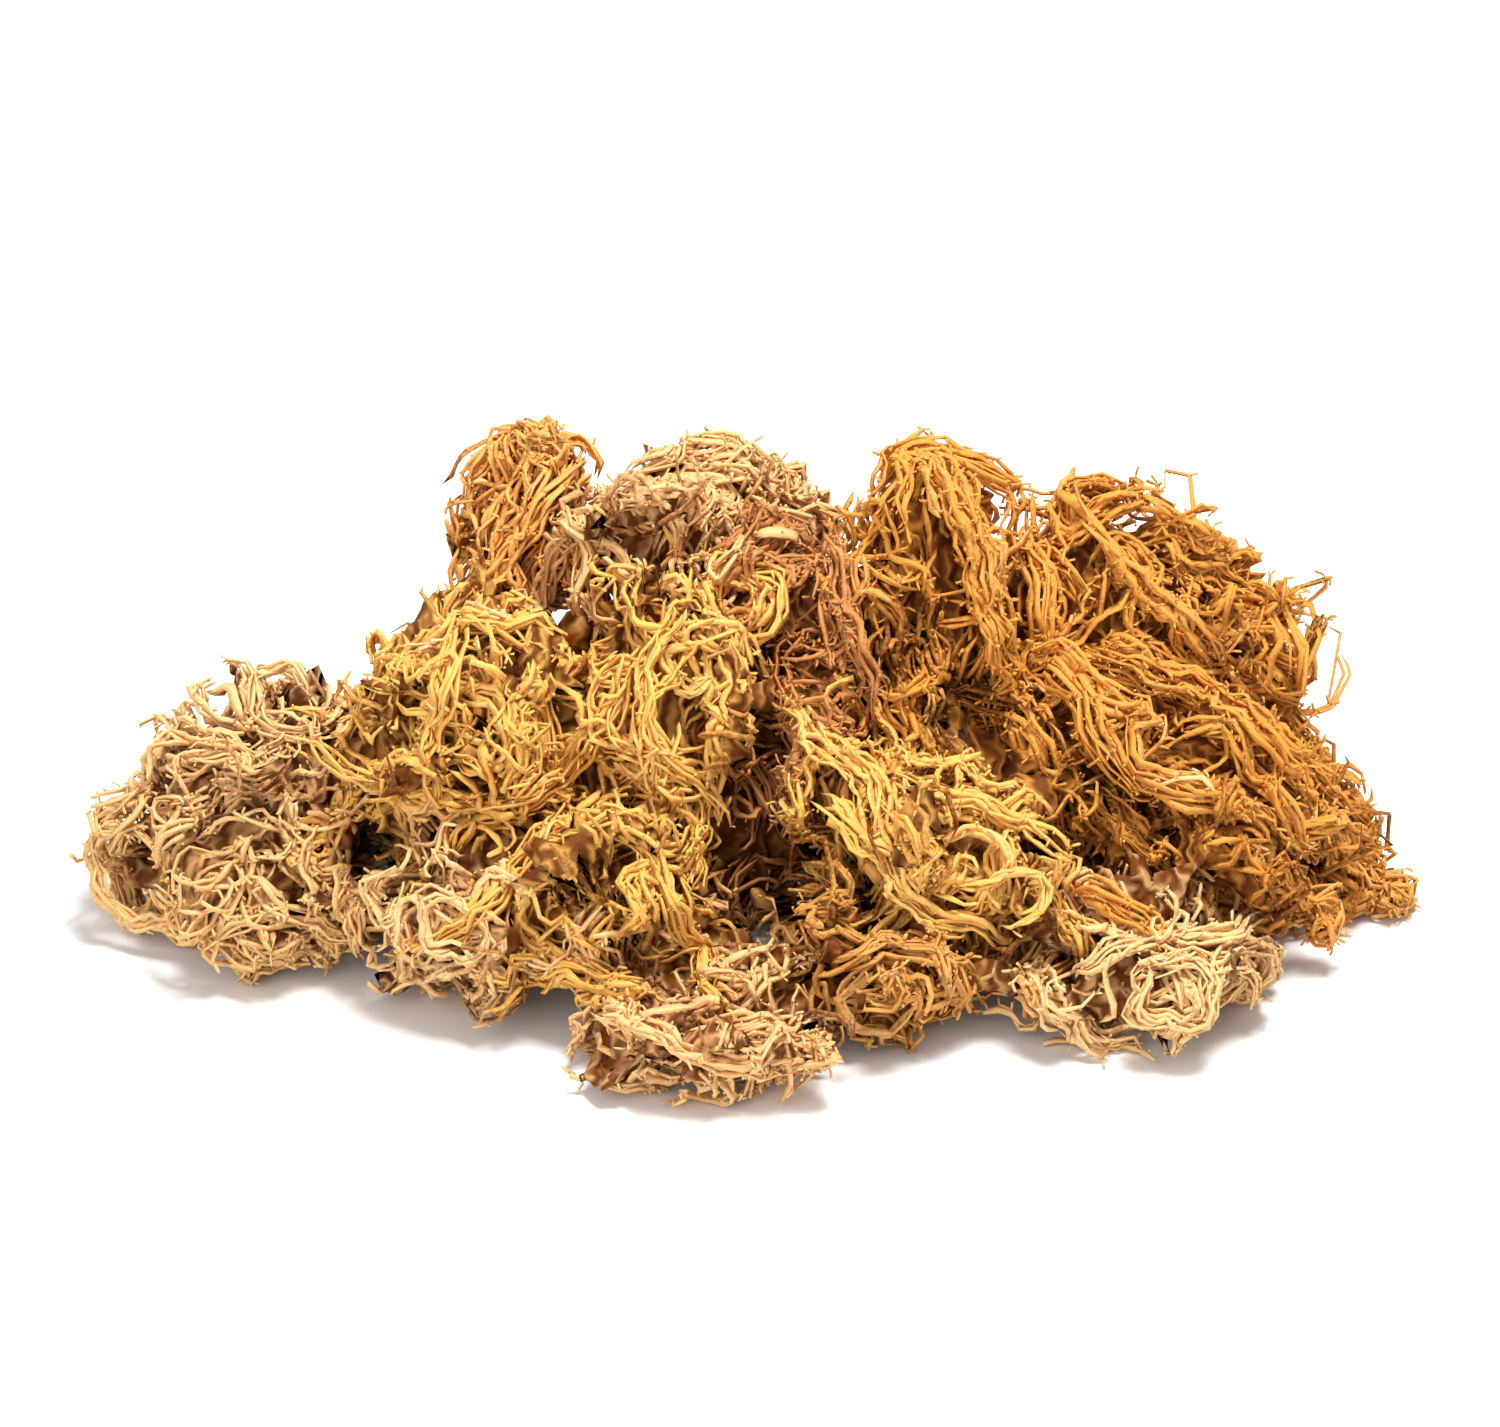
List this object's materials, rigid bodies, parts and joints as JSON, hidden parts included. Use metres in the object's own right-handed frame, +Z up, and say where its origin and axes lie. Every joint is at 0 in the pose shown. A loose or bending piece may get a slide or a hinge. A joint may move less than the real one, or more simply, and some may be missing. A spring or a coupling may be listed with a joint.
{
  "type": "heap of dried sea moss",
  "caption": "Loose heap of sun-dried sea moss: tangled tufts of thin, curly golden fronds, resting on a flat surface.",
  "frame": {"origin": "on the resting surface, under the middle of the heap's bounding box", "axes": "+X along the heap's long side, to the viewer's right; +Y away from the viewer, to the back; +Z up"},
  "size_m": [0.1644, 0.0984, 0.0582],
  "materials": {
    "pale_frond": "matte",
    "gold_frond": "satin",
    "amber_frond": "satin",
    "brown_frond": "matte"
  },
  "bodies": {
    "root": {"moss_left_loop": "pale_frond", "moss_left_foot": "pale_frond", "moss_left_shoulder": "pale_frond", "moss_left_back": "amber_frond", "moss_gold_bowl": "gold_frond", "moss_gold_column": "gold_frond", "moss_top_left": "amber_frond", "moss_back_spike": "amber_frond", "moss_brown_ridge": "brown_frond", "moss_peak": "amber_frond", "moss_right_crown": "amber_frond", "moss_right_fan": "amber_frond", "moss_gold_fan": "gold_frond", "moss_front_middle": "gold_frond", "moss_front_left": "pale_frond", "moss_front_foot": "amber_frond", "moss_front_nest": "gold_frond", "moss_front_right": "pale_frond", "moss_back_left": "amber_frond", "moss_back_middle": "gold_frond", "moss_back_right": "amber_frond", "moss_middle": "brown_frond"}
  },
  "joints": []
}
